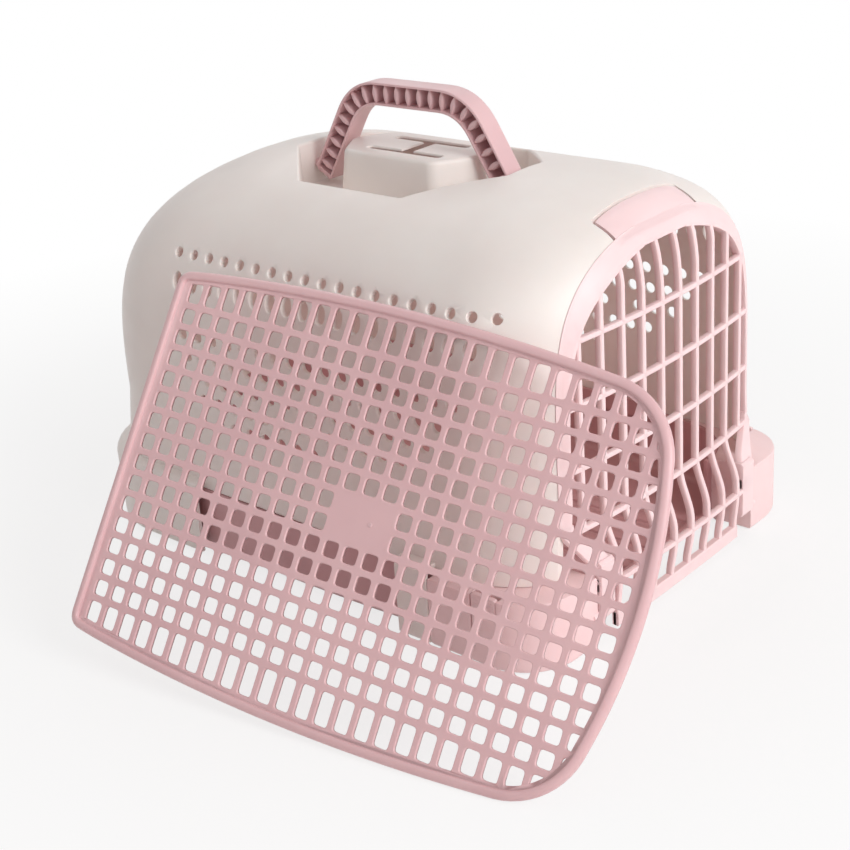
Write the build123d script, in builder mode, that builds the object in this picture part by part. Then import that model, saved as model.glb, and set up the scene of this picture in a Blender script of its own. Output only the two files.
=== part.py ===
from build123d import *
from math import cos, radians, sin, sqrt
import os

# A loaf-shaped carrier for a small pet. A perforated hood with a folding handle stands on a
# shallow base tray, a domed lattice door drops forward between two corner blocks, and the
# slotted floor mat stands outside, leaning against the near wall.
# Millimetres. X runs from the closed end to the door, Y across, Z up. The origin is on the
# floor under the middle of the base tray.

# Hood
hood_edge = 53
hood_spring = 108
hood_top = 290
hood_half_width = 153
hood_draft = 4
hood_nose = 237
hood_tail = 222
hood_tail_draft = 6
hood_corner = 75
hood_wall = 3
hood_rim = 224
crown_power = 4.7
nose_power = 8
nose_root = 0.1
tail_power = 2.5
tail_root = 0.25
crown_corner_share = 0.88
hood_levels = [53, 101, 151, 168, 191, 206, 226, 241.5, 252, 262, 271, 278.5, 284.5, 288.9]

# Skirts at the hood's corners, outside the tray
skirt_reach = 11
skirt_height = 60
skirt_bottom = 3
skirt_rounding = 6
rear_skirt_front = -85
rear_skirt_half_gap = 60
front_skirt_rear = 119

# Perforations of the two side walls: height, first hole's place and count of each row
small_hole = 6.6
small_row = (234, -100, 19)
tall_hole_width = 9.5
tall_hole_height = 15
tall_row = (214.5, -97, 18)
square_hole = 8.8
square_rows = [(176, -93, 17), (159.2, -90, 16), (142.5, -86, 15), (125.7, -77, 13), (109, -46, 8)]
hole_pitch = 16.2

# Handle, and the well and island in the roof around it
handle_middle = 16
handle_axis = 270
handle_height = 69
handle_half_grip = 42
handle_half_shoulder = 75
handle_shoulder_drop = 14
handle_half_foot = 98
handle_bar = 17
handle_depth = 22
handle_wall = 2.6
handle_rib = 2.4
handle_rib_count = 22
handle_end_solid = 12
handle_pin = 4
handle_pin_length = 6
well_gap = 2.5
well_floor = 256
well_half_width = 76
well_corner = 44
pin_boss = 8
island_top = 294
island_half_length = 68
island_half_flat = 45
island_half_width = 36
island_taper = 7.5
slot_length = 70
slot_shift = 4
slot_spacing = 31
slot_width = 6.5
slot_neck = 11

# Base tray
tray_half_end = 149
tray_half_middle = 156
tray_front = 206
tray_front_corner = 57
tray_wall = 3
tray_foot_chamfer = 4
tray_flange = 6.5
tray_lip = 7
tray_lip_wall = 2.5
tray_sill = 9
tray_rib_count = 11
tray_rib_step = 17
tray_rib_width = 12
tray_rib_slope = 50
tray_rib_height = 3
tray_rib_rear = -150

# Corner blocks
block_rear = 147
block_front = 240
block_half_width = 163
block_corner = 42
block_inner = 98.5
block_foot_chamfer = 4

# Side catches, and the lugs of the hood that they press on
catch_rear = 184
catch_width = 21
catch_bottom = 18
catch_height = 36
catch_wall = 3.5
catch_face = 162.3
catch_axis_inset = 4
catch_barrel = 3
catch_pin = 1.8
catch_pin_length = 2.6
catch_barb_tip = 149.2
catch_barb = 3
lug_rear = 187.5
lug_width = 9
lug_depth = 13

# Door
door_top = 271
door_crown_flat = 30
door_front = 236.5
door_edge_front = 228
door_back_bulge = 6.5
door_band = 9.5
door_crown_band = 15
door_bar = 4.8
door_bar_step = 21.4
door_bars_per_side = 5
door_rail = 4.6
door_rail_step = 43.8
door_rail_count = 4
door_top_rail = 216
door_fork_top = 88
door_fork_foot = 66
door_fork_half_width = 104.5
door_fork_end = 58
door_fork_inset = 4
door_low_rail = 41
door_low_front = 246
door_low_edge_front = 240.5
door_low_wall = 5
door_sill_front = 242.5
door_sill_edge_front = 240
door_sill_top = 15
door_bottom = 5
door_axis_height = 23
ear_width = 15
ear_front = 243
ear_back = 233.5
ear_top = 63
door_pin = 3
door_pin_length = 6
door_nub_height = 47.5
door_nub = 2
door_nub_reach = 0.8
tab_half_width = 46
tab_rear = 208
notch_rear = 206
notch_gap = 2.5
notch_floor = 258

# Floor mat: pitch of the holes, outline and the way it stands
mat_pitch = 14.9
mat_columns = 25
mat_rows = 16
mat_hole = 9.8
mat_solid_rows = 2
mat_plate = 2.4
mat_rim_height = 5
mat_rim = 6
mat_margin = 3
mat_edge_slot = 30
mat_left = 196
mat_right = 197
mat_left_half = 127
mat_middle_half = 137
mat_middle_bulge = 40
mat_shoulder = (140, 128.5)
mat_shoulder_bend = (172, 113)
mat_shoulder_end = (187, 84)
mat_left_rounding = 12
mat_place = (146.3, -216.8, 118.1)
mat_lean = 33.4
mat_yaw = 11.3
mat_tilt = 5.5

# Clearances
seat_gap = 0.3
side_gap = 0.5
lip_gap = 1.3
ear_gap = 1.5
pin_gap = 0.08
bore_gap = 0.5
overcut = 20

os.makedirs("parts", exist_ok=True)

# Places that several pieces share
tray_top = hood_edge - seat_gap
door_axis_place = (ear_front + ear_back) / 2
catch_axis_y = catch_face - catch_axis_inset
catch_axis_z = catch_bottom + catch_barrel
barb_bottom = hood_edge - lug_depth / 2


# The hood's half width, front and rear at a height
def crown_share(height):
    return max(0, (height - hood_spring) / (hood_top - hood_spring))


def draft_share(height):
    return min(1, (height - hood_edge) / (hood_spring - hood_edge))


def half_width_at(height):
    straight = hood_half_width - hood_draft * draft_share(height)
    return straight * sqrt(1 - crown_share(height) ** crown_power)


def front_at(height):
    return hood_nose * (1 - crown_share(height) ** nose_power) ** nose_root


def rear_at(height):
    straight = hood_tail - hood_tail_draft * draft_share(height)
    return straight * (1 - crown_share(height) ** tail_power) ** tail_root


def corner_at(height):
    return min(hood_corner, crown_corner_share * half_width_at(height))


# The hood's whole rounded form, or the same moved inward by a wall
def loaf(inset):
    with BuildPart() as body:
        for height in hood_levels:
            length = front_at(height) + rear_at(height) - 2 * inset
            middle = (front_at(height) - rear_at(height)) / 2
            width = 2 * (half_width_at(height) - inset)
            with BuildSketch(Plane.XY.offset(height - inset)):
                with Locations((middle, 0)):
                    RectangleRounded(length, width, corner_at(height) - inset)
        loft(ruled=True)
    return body.part


# The plan of the hood's lower edge, grown by a reach
def edge_plan(reach):
    length = hood_nose + hood_tail + 2 * reach
    with BuildSketch() as plan:
        with Locations(((hood_nose - hood_tail) / 2, 0)):
            RectangleRounded(length, 2 * (hood_half_width + reach), hood_corner + reach)
    return plan.sketch


# The plan of the tray, moved inward by a wall
def tray_plan(inset):
    rear = -hood_tail + inset
    front = tray_front - inset
    side = tray_half_end - inset
    rear_corner = hood_corner - inset
    front_corner = tray_front_corner - inset
    with BuildSketch() as plan:
        with BuildLine():
            Line((rear, 0), (rear, rear_corner - side))
            CenterArc((rear + rear_corner, rear_corner - side), rear_corner, 180, 90)
            ThreePointArc(
                (rear + rear_corner, -side), (0, inset - tray_half_middle), (front - front_corner, -side)
            )
            CenterArc((front - front_corner, front_corner - side), front_corner, 270, 90)
            Line((front, front_corner - side), (front, 0))
            mirror(about=Plane.XZ)
        make_face()
    return plan.sketch


# The octagon of the roof well, grown by a wall
def well_plan(grow):
    half_length = handle_half_foot + well_gap + grow
    half_width = well_half_width + grow
    cut = well_corner
    with BuildSketch() as plan:
        with BuildLine():
            Polyline(
                (-half_length, 0),
                (-half_length, cut - half_width),
                (cut - half_length, -half_width),
                (half_length - cut, -half_width),
                (half_length, cut - half_width),
                (half_length, 0),
            )
            mirror(about=Plane.XZ)
        make_face()
    return plan.sketch


# The hexagon of the island in the well, shrunk by a wall
def island_plan(inset):
    with BuildSketch() as plan:
        with BuildLine():
            Polyline(
                (inset - island_half_length, 0),
                (-island_half_flat, inset - island_half_width),
                (island_half_flat, inset - island_half_width),
                (island_half_length - inset, 0),
            )
            mirror(about=Plane.XZ)
        make_face()
    return plan.sketch


hood_outer = loaf(0)
hood_inner = loaf(hood_wall)

# Skirts: a stepped rim outside the tray, kept only at the corners
with BuildPart() as skirts:
    with BuildSketch(Plane.XY.offset(skirt_bottom)):
        add(edge_plan(skirt_reach))
    extrude(amount=skirt_height - skirt_bottom)
    fillet(skirts.faces().sort_by(Axis.Z)[-1].edges(), skirt_rounding)
    with BuildSketch(Plane.XY.offset(skirt_bottom)):
        add(edge_plan(skirt_reach - hood_wall))
    extrude(amount=skirt_height - hood_wall - skirt_bottom, mode=Mode.SUBTRACT)
    with BuildSketch():
        rear_end = hood_tail + skirt_reach
        rear_length = rear_end + rear_skirt_front
        side_reach = hood_half_width + skirt_reach
        for side in (-1, 1):
            with Locations((-rear_end, side * side_reach)):
                Rectangle(
                    rear_length,
                    side_reach - rear_skirt_half_gap,
                    align=(Align.MIN, Align.MAX if side > 0 else Align.MIN),
                )
            with Locations((front_skirt_rear, side * side_reach)):
                Rectangle(
                    block_rear - seat_gap - front_skirt_rear,
                    side_reach / 2,
                    align=(Align.MIN, Align.MAX if side > 0 else Align.MIN),
                )
    extrude(amount=hood_top, mode=Mode.INTERSECT)

# Lugs under the hood's edge, which the side catches press on
with BuildPart() as lugs:
    with BuildSketch(Plane.XY.offset(hood_edge - lug_depth)):
        add(edge_plan(0))
        add(edge_plan(-hood_wall), mode=Mode.SUBTRACT)
    extrude(amount=lug_depth + hood_wall)
    with BuildSketch():
        with Locations((lug_rear + lug_width / 2, 0)):
            Rectangle(lug_width, 3 * hood_half_width)
    extrude(amount=hood_top, mode=Mode.INTERSECT)

# Block that the roof well is cut into
with BuildPart() as well_block:
    add(hood_outer)
    with BuildSketch(Plane.XY.offset(well_floor - hood_wall)):
        with Locations((handle_middle, 0)):
            add(well_plan(hood_wall))
    extrude(amount=hood_top, mode=Mode.INTERSECT)

# Hood: loaf, skirts and lugs hollowed by a wall, open below and at the door
with BuildPart() as top_shell:
    add(hood_outer)
    add(skirts.part)
    add(hood_inner, mode=Mode.SUBTRACT)
    add(lugs.part)
    add(well_block.part)
    split(bisect_by=Plane.YZ.offset(hood_rim), keep=Keep.BOTTOM)

    # Bosses that carry the handle's pins, then the well itself
    boss_end = handle_half_foot + handle_pin_length + bore_gap + hood_wall
    with BuildSketch(Plane.YZ.offset(handle_middle - boss_end)):
        with Locations((0, handle_axis)):
            Circle(pin_boss)
    extrude(amount=2 * boss_end)
    with BuildSketch(Plane.XY.offset(well_floor)):
        with Locations((handle_middle, 0)):
            add(well_plan(0))
    extrude(amount=hood_top, mode=Mode.SUBTRACT)

    # Hollow island in the middle of the well
    with BuildSketch(Plane.XY.offset(well_floor - hood_wall)):
        with Locations((handle_middle, 0)):
            add(island_plan(0))
    extrude(amount=island_top - well_floor + hood_wall, taper=island_taper)
    with BuildSketch(Plane.XY.offset(well_floor - hood_wall)):
        with Locations((handle_middle, 0)):
            add(island_plan(hood_wall))
    extrude(amount=island_top - well_floor, taper=island_taper, mode=Mode.SUBTRACT)

    # H-shaped vent through the island's top
    with BuildSketch(Plane.XY.offset(island_top)):
        with Locations((handle_middle + slot_shift, 0)):
            with GridLocations(slot_spacing, slot_spacing, 1, 2):
                SlotOverall(slot_length, slot_width)
            Rectangle(slot_neck, slot_spacing)
    extrude(amount=-2 * hood_wall, mode=Mode.SUBTRACT)

    # Bores for the handle's pins
    with BuildSketch(Plane.YZ.offset(handle_middle - boss_end + hood_wall)):
        with Locations((0, handle_axis)):
            Circle(handle_pin + pin_gap)
    extrude(amount=2 * (boss_end - hood_wall), mode=Mode.SUBTRACT)

    # Notch in the roof's front edge for the door's tab
    with BuildSketch(Plane.XY.offset(notch_floor)):
        with Locations((notch_rear, 0)):
            Rectangle(
                hood_rim - notch_rear + overcut,
                2 * (tab_half_width + notch_gap),
                align=(Align.MIN, Align.CENTER),
            )
    extrude(amount=hood_top - notch_floor, mode=Mode.SUBTRACT)

    # Perforations through both side walls
    with BuildSketch(Plane.XZ):
        height, first, count = small_row
        with Locations((first + hole_pitch * (count - 1) / 2, height)):
            with GridLocations(hole_pitch, hole_pitch, count, 1):
                Rectangle(small_hole, small_hole)
        height, first, count = tall_row
        with Locations((first + hole_pitch * (count - 1) / 2, height)):
            with GridLocations(hole_pitch, hole_pitch, count, 1):
                Rectangle(tall_hole_width, tall_hole_height)
        for height, first, count in square_rows:
            with Locations((first + hole_pitch * (count - 1) / 2, height)):
                with GridLocations(hole_pitch, hole_pitch, count, 1):
                    Rectangle(square_hole, square_hole)
    extrude(amount=hood_half_width, both=True, mode=Mode.SUBTRACT)

top_shell.part.label = "top_shell"
export_step(top_shell.part, "parts/top_shell.step")

# Base tray
lip_reach = -hood_wall - lip_gap
with BuildPart() as base_tray:
    with BuildSketch():
        add(tray_plan(0))
    extrude(amount=tray_top)
    chamfer(base_tray.faces().sort_by(Axis.Z)[0].edges(), tray_foot_chamfer)
    with BuildSketch(Plane.XY.offset(tray_wall)):
        add(tray_plan(tray_wall))
    extrude(amount=tray_top, mode=Mode.SUBTRACT)

    # Inward flange and the lip that the hood drops over, behind the corner blocks
    with BuildSketch(Plane.XY.offset(tray_top - tray_flange)):
        add(tray_plan(0))
        add(edge_plan(lip_reach - tray_lip_wall), mode=Mode.SUBTRACT)
        with Locations((front_skirt_rear, 0)):
            Rectangle(
                2 * hood_tail, 3 * hood_half_width, align=(Align.MAX, Align.CENTER), mode=Mode.INTERSECT
            )
    extrude(amount=tray_flange)
    with BuildSketch(Plane.XY.offset(tray_top)):
        add(edge_plan(lip_reach))
        add(edge_plan(lip_reach - tray_lip_wall), mode=Mode.SUBTRACT)
        with Locations((front_skirt_rear, 0)):
            Rectangle(
                2 * hood_tail, 3 * hood_half_width, align=(Align.MAX, Align.CENTER), mode=Mode.INTERSECT
            )
    extrude(amount=tray_lip)

    # Low sill under the doorway
    with BuildSketch(Plane.XY.offset(tray_sill)):
        with Locations((tray_front, 0)):
            Rectangle(4 * tray_wall, 2 * (tray_half_end - tray_front_corner))
    extrude(amount=tray_top, mode=Mode.SUBTRACT)

    # Ribs along the floor
    with BuildSketch(Plane.YZ.offset(tray_rib_rear)):
        with Locations((0, tray_wall)):
            with GridLocations(tray_rib_step, tray_rib_step, tray_rib_count, 1):
                Trapezoid(
                    tray_rib_width, tray_rib_height, tray_rib_slope, align=(Align.CENTER, Align.MIN)
                )
    extrude(amount=tray_front - tray_wall - tray_rib_rear)

base_tray.part.label = "base_tray"
export_step(base_tray.part, "parts/base_tray.step")

# Near corner block, outside the tray's front corner
with BuildPart() as corner_block_near:
    with BuildSketch():
        with Locations((block_rear, -block_half_width)):
            Rectangle(
                block_front - block_rear, block_half_width - block_inner, align=(Align.MIN, Align.MIN)
            )
    extrude(amount=tray_top)
    outer_edge = corner_block_near.edges().filter_by(Axis.Z).sort_by(Axis.X)[-2:].sort_by(Axis.Y)[0]
    fillet(outer_edge, block_corner)
    chamfer(corner_block_near.faces().sort_by(Axis.Z)[0].edges().sort_by(Axis.Y)[:3], block_foot_chamfer)
    with BuildSketch():
        add(tray_plan(0))
    extrude(amount=tray_top, mode=Mode.SUBTRACT)

    # Window of the catch and pocket of the hood's lug
    with BuildSketch(Plane.XY.offset(catch_bottom - side_gap)):
        with Locations((catch_rear - side_gap, -block_half_width - overcut)):
            Rectangle(
                catch_width + 2 * side_gap,
                overcut + 2 * catch_axis_inset,
                align=(Align.MIN, Align.MIN),
            )
    extrude(amount=tray_top, mode=Mode.SUBTRACT)
    with BuildSketch(Plane.XY.offset(hood_edge - lug_depth - side_gap)):
        with Locations((lug_rear - side_gap, -block_half_width)):
            Rectangle(
                lug_width + 2 * side_gap, block_half_width - hood_half_width + 4 * hood_wall,
                align=(Align.MIN, Align.MIN),
            )
    extrude(amount=tray_top, mode=Mode.SUBTRACT)

    # Bores of the catch's pins and of the door's pin
    with BuildSketch(Plane.YZ.offset(catch_rear - catch_pin_length - bore_gap)):
        with Locations((-catch_axis_y, catch_axis_z)):
            Circle(catch_pin + pin_gap)
    extrude(amount=catch_width + 2 * (catch_pin_length + bore_gap), mode=Mode.SUBTRACT)
    with BuildSketch(Plane.XZ.offset(block_inner)):
        with Locations((door_axis_place, door_axis_height)):
            Circle(door_pin + pin_gap)
    extrude(amount=door_pin_length - ear_gap + bore_gap, mode=Mode.SUBTRACT)

corner_block_near.part.label = "corner_block_near"
export_step(corner_block_near.part, "parts/corner_block_near.step")

with BuildPart() as corner_block_far:
    add(corner_block_near.part)
    mirror(about=Plane.XZ, mode=Mode.REPLACE)

corner_block_far.part.label = "corner_block_far"
export_step(corner_block_far.part, "parts/corner_block_far.step")

# Near side catch: a tongue on two pins, with a barb against the hood's lug
with BuildPart() as side_catch_near:
    with BuildSketch(Plane.YZ.offset(catch_rear)):
        with Locations((-catch_face, catch_axis_z)):
            Rectangle(
                catch_wall, catch_height - catch_barrel, align=(Align.MIN, Align.MIN)
            )
        with Locations((-catch_axis_y, catch_axis_z)):
            Circle(catch_barrel)
    extrude(amount=catch_width)
    with BuildSketch(Plane.YZ.offset(catch_rear - catch_pin_length)):
        with Locations((-catch_axis_y, catch_axis_z)):
            Circle(catch_pin)
    extrude(amount=catch_width + 2 * catch_pin_length)
    with BuildSketch(Plane.YZ.offset(lug_rear)):
        with BuildLine():
            Polyline(
                (-catch_face + catch_wall / 2, barb_bottom),
                (-catch_barb_tip, barb_bottom),
                (-catch_barb_tip, barb_bottom + catch_barb / 2),
                (-catch_face + catch_wall / 2, barb_bottom + 2 * catch_barb),
                close=True,
            )
        make_face()
    extrude(amount=lug_width)

side_catch_near.part.label = "side_catch_near"
export_step(side_catch_near.part, "parts/side_catch_near.step")

with BuildPart() as side_catch_far:
    add(side_catch_near.part)
    mirror(about=Plane.XZ, mode=Mode.REPLACE)

side_catch_far.part.label = "side_catch_far"
export_step(side_catch_far.part, "parts/side_catch_far.step")


# The hood's outline where the door meets it: half width of its rim at a height
def rim_half_width(height):
    corner = corner_at(height)
    ahead = hood_rim - front_at(height) + corner
    return half_width_at(height) - corner + sqrt(max(0, corner**2 - ahead**2))


# The door's arch seen from the front, moved inward at the sides and the crown
def arch_outline(side_inset, crown_inset):
    spring_half = rim_half_width(hood_spring) - side_inset
    crown = door_top - crown_inset
    arch = [(door_crown_flat - side_inset, crown)]
    for height in reversed(hood_levels):
        if hood_spring < height < door_top:
            arch.append((rim_half_width(height) - side_inset, height - crown_inset * crown_share(height)))
    arch.append((spring_half, hood_spring))
    with BuildSketch() as outline:
        with BuildLine():
            Polyline((0, crown), *arch, (spring_half, door_fork_top), (0, door_fork_top))
            mirror(about=Plane.YZ)
        make_face()
    return outline.sketch


# One level of the door's curved sheet: a slice between a front arc and a back arc
def door_slice(height, centre_front, edge_front, centre_back, edge_back):
    reach = rim_half_width(hood_spring) + side_gap
    with BuildSketch(Plane.XY.offset(height)) as level:
        with BuildLine():
            ThreePointArc((edge_front, -reach), (centre_front, 0), (edge_front, reach))
            Line((edge_front, reach), (edge_back, reach))
            ThreePointArc((edge_back, reach), (centre_back, 0), (edge_back, -reach))
            Line((edge_back, -reach), (edge_front, -reach))
        make_face()
    return level.sketch


# Lower sheet: steps forward from the dome to the fork that stands before the tray
door_back = hood_rim + seat_gap
dome_back = door_back + door_back_bulge
low_back = door_low_front - door_low_wall
low_edge_back = door_low_edge_front - door_low_wall
sill_back = door_sill_front - door_low_wall
sill_edge_back = door_sill_edge_front - door_low_wall
with BuildPart() as low_sheet:
    add(door_slice(door_fork_top, door_front, door_edge_front, dome_back, door_back))
    for height in (door_fork_foot, door_low_rail):
        add(door_slice(height, door_low_front, door_low_edge_front, low_back, low_edge_back))
    for height in (door_sill_top, door_bottom):
        add(door_slice(height, door_sill_front, door_sill_edge_front, sill_back, sill_edge_back))
    loft(ruled=True)

# The door's band around the arch
with BuildSketch() as arch_band:
    add(arch_outline(0, 0))
    add(arch_outline(door_band, door_crown_band), mode=Mode.SUBTRACT)

# One side of the fork below the arch, tapering to the ear
door_half = rim_half_width(hood_spring)
ear_outer = block_inner - ear_gap
ear_inner = ear_outer - ear_width
with BuildSketch() as fork_sides:
    with BuildLine():
        Polyline(
            (door_half, door_fork_top),
            (door_half - door_band, door_fork_top),
            (ear_inner + door_fork_inset, door_fork_foot),
            (ear_inner, door_fork_end),
            (ear_outer, door_fork_end),
            (door_fork_half_width, door_fork_foot),
            close=True,
        )
    make_face()
    mirror(about=Plane.YZ)

# Upper lattice: bars and rails cut out of the dome
with BuildPart() as dome_lattice:
    add(door_slice(door_fork_top, door_front, door_edge_front, dome_back, door_back))
    extrude(amount=door_top - door_fork_top)
    with BuildSketch(Plane.YZ.offset(hood_rim - overcut)):
        with GridLocations(door_bar_step, door_bar_step, 2 * door_bars_per_side, 1):
            Rectangle(door_bar, 2 * door_top)
        with Locations((0, door_top_rail - door_rail_step * (door_rail_count - 2) / 2)):
            with GridLocations(door_rail_step, door_rail_step, 1, door_rail_count - 1):
                Rectangle(2 * door_half, door_rail)
        add(arch_outline(door_band / 2, door_crown_band / 2), mode=Mode.INTERSECT)
    extrude(amount=3 * overcut, mode=Mode.INTERSECT)

# Band of the arch, flat against the hood's rim
with BuildPart() as dome_band:
    with BuildSketch(Plane.YZ.offset(door_back)):
        add(arch_band.sketch)
    extrude(amount=overcut)
    with BuildSketch(Plane.XY.offset(door_fork_top)):
        add(door_slice(0, door_front, door_edge_front, door_back - door_back_bulge, door_back - side_gap))
    extrude(amount=door_top - door_fork_top, mode=Mode.INTERSECT)

# Lower lattice: the fork's sides, the short bars, the low rail and the sill
with BuildPart() as low_lattice:
    add(low_sheet.part)
    with BuildSketch(Plane.YZ.offset(hood_rim - overcut)):
        add(fork_sides.sketch)
        with Locations((0, (door_fork_top + door_bottom) / 2)):
            with GridLocations(door_bar_step, door_bar_step, 2 * door_bars_per_side - 2, 1):
                Rectangle(door_bar, door_fork_top - door_bottom)
        with Locations((0, door_top_rail - door_rail_step * (door_rail_count - 1))):
            Rectangle(2 * (door_half - door_band), door_rail)
        with Locations((0, door_low_rail)):
            Rectangle(ear_inner + ear_outer, door_rail)
        with Locations((0, door_bottom)):
            Rectangle(
                door_bar_step * (2 * door_bars_per_side - 3) + door_bar,
                door_sill_top - door_bottom,
                align=(Align.CENTER, Align.MIN),
            )
    extrude(amount=3 * overcut, mode=Mode.INTERSECT)

# Tab of the door, a slice of the hood's own form that fills the notch in the roof
with BuildPart() as door_tab:
    add(hood_outer)
    add(hood_inner, mode=Mode.SUBTRACT)
    with BuildSketch(Plane.XY.offset(notch_floor)):
        with Locations((tab_rear, 0)):
            Rectangle(
                door_edge_front - tab_rear, 2 * tab_half_width, align=(Align.MIN, Align.CENTER)
            )
    extrude(amount=hood_top - notch_floor, mode=Mode.INTERSECT)

# Door: dome trimmed by the hood's form, fork, ears with their pins, and tab
ear_half_depth = (ear_front - ear_back) / 2
with BuildPart() as door:
    add(dome_lattice.part)
    add(dome_band.part)
    add(hood_outer, mode=Mode.INTERSECT)
    add(low_lattice.part)
    add(door_tab.part)
    for side in (-1, 1):
        # Ear, rounded about the pin, and the nub that steadies it
        with BuildSketch(Plane.XZ.offset(-side * ear_inner)):
            with Locations((door_axis_place, door_axis_height)):
                Circle(ear_half_depth)
                Rectangle(
                    ear_front - ear_back, ear_top - door_axis_height, align=(Align.CENTER, Align.MIN)
                )
        extrude(amount=-side * ear_width)
        with BuildSketch(Plane.XZ.offset(-side * ear_inner)):
            with Locations((door_axis_place, door_axis_height)):
                Circle(door_pin)
        extrude(amount=-side * (ear_width + door_pin_length))
        with BuildSketch(Plane.XZ.offset(-side * ear_inner)):
            with Locations((door_axis_place, door_nub_height)):
                Circle(door_nub)
        extrude(amount=-side * (ear_width + door_nub_reach))

door.part.label = "door"
export_step(door.part, "parts/door.step")

# Handle: a ribbed channel bent over the well, on two pins
handle_plane = Plane(origin=(handle_middle, 0, handle_axis), x_dir=(1, 0, 0), z_dir=(0, -1, 0))


def handle_outline(inset):
    foot = -2 * handle_depth
    with BuildSketch() as outline:
        with BuildLine():
            Polyline(
                (-handle_half_foot, foot),
                (-handle_half_foot, 0),
                (-handle_half_shoulder, handle_height - handle_shoulder_drop),
                (-handle_half_grip, handle_height),
                (handle_half_grip, handle_height),
                (handle_half_shoulder, handle_height - handle_shoulder_drop),
                (handle_half_foot, 0),
                (handle_half_foot, foot),
                close=True,
            )
        make_face()
        fillet(outline.vertices().sort_by(Axis.Y)[-4:], handle_bar)
        if inset:
            offset(amount=-inset)
    return outline.sketch


with BuildSketch() as channel:
    add(handle_outline(handle_wall))
    add(handle_outline(handle_bar - handle_wall), mode=Mode.SUBTRACT)
    with Locations((0, handle_end_solid)):
        Rectangle(3 * handle_half_foot, handle_height, align=(Align.CENTER, Align.MIN), mode=Mode.INTERSECT)
    spine = handle_outline(handle_bar / 2).wire()
    for i in range(handle_rib_count):
        at = (i + 0.5) / handle_rib_count
        place = spine.position_at(at)
        along = spine.tangent_at(at)
        if place.Y > 0:
            with Locations(Location(place, (0, 0, along.get_angle(Vector(1, 0, 0))))):
                Rectangle(handle_rib, handle_bar, mode=Mode.SUBTRACT)

with BuildPart() as handle:
    with BuildSketch(handle_plane):
        add(handle_outline(0))
        add(handle_outline(handle_bar), mode=Mode.SUBTRACT)
    extrude(amount=handle_depth / 2, both=True)
    with BuildSketch(Plane.YZ.offset(handle_middle)):
        with Locations((0, handle_axis)):
            Circle(handle_depth / 2)
            Rectangle(handle_depth, 2 * handle_height, align=(Align.CENTER, Align.MIN))
    extrude(amount=handle_half_foot, both=True, mode=Mode.INTERSECT)
    with BuildSketch(handle_plane.offset(handle_depth / 2)):
        add(channel.sketch)
    extrude(amount=handle_wall - handle_depth, mode=Mode.SUBTRACT)
    with BuildSketch(Plane.YZ.offset(handle_middle)):
        with Locations((0, handle_axis)):
            Circle(handle_pin)
    extrude(amount=handle_half_foot + handle_pin_length, both=True)
    with BuildSketch(Plane.YZ.offset(handle_middle)):
        with Locations((0, handle_axis)):
            Circle(handle_depth)
    extrude(amount=handle_half_foot - handle_bar, both=True, mode=Mode.SUBTRACT)

handle.part.label = "handle"
export_step(handle.part, "parts/handle.step")

# Floor mat, drawn on its own leaning plane: X along the mat, Y up it, Z out of its face
lean = radians(mat_lean)
yaw = radians(mat_yaw)
tilt = radians(mat_tilt)
mat_normal = Vector(sin(yaw) * cos(lean), -cos(yaw) * cos(lean), sin(lean))
mat_level = Vector(cos(yaw), sin(yaw), 0)
mat_along = mat_level * cos(tilt) - mat_normal.cross(mat_level) * sin(tilt)
mat_plane = Plane(origin=mat_place, x_dir=mat_along, z_dir=mat_normal)


def mat_outline(inset):
    with BuildSketch() as outline:
        with BuildLine():
            ThreePointArc((-mat_left, mat_left_half), (-mat_middle_bulge, mat_middle_half), mat_shoulder)
            ThreePointArc(mat_shoulder, mat_shoulder_bend, mat_shoulder_end)
            ThreePointArc(mat_shoulder_end, (mat_right, 0), (mat_shoulder_end[0], -mat_shoulder_end[1]))
            ThreePointArc(
                (mat_shoulder_end[0], -mat_shoulder_end[1]),
                (mat_shoulder_bend[0], -mat_shoulder_bend[1]),
                (mat_shoulder[0], -mat_shoulder[1]),
            )
            ThreePointArc(
                (mat_shoulder[0], -mat_shoulder[1]),
                (-mat_middle_bulge, -mat_middle_half),
                (-mat_left, -mat_left_half),
            )
            Line((-mat_left, -mat_left_half), (-mat_left, mat_left_half))
        make_face()
        fillet(outline.vertices().sort_by(Axis.X)[:2], mat_left_rounding)
        if inset:
            offset(amount=-inset)
    return outline.sketch


with BuildSketch() as mat_slots:
    with GridLocations(mat_pitch, mat_pitch, mat_columns, mat_rows - 2):
        Rectangle(mat_hole, mat_hole)
    with GridLocations(mat_pitch, mat_pitch * (mat_rows - 1) + mat_edge_slot - mat_hole, mat_columns, 2):
        Rectangle(mat_hole, mat_edge_slot)
    with Locations((mat_pitch / 2, 0)):
        Rectangle(mat_solid_rows * mat_pitch, mat_solid_rows * mat_pitch, mode=Mode.SUBTRACT)
    add(mat_outline(mat_rim + mat_margin), mode=Mode.INTERSECT)

with BuildPart() as floor_mat:
    with BuildSketch(mat_plane):
        add(mat_outline(0))
        add(mat_outline(mat_rim), mode=Mode.SUBTRACT)
    extrude(amount=mat_rim_height)
    with BuildSketch(mat_plane):
        add(mat_outline(mat_rim))
        add(mat_slots.sketch, mode=Mode.SUBTRACT)
    extrude(amount=mat_plate, clean=False)

floor_mat.part.label = "floor_mat"
export_step(floor_mat.part, "parts/floor_mat.step")
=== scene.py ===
from math import atan2, cos, radians, sin, sqrt, tan

import bmesh
import bpy
from mathutils import Matrix, Vector


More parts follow.
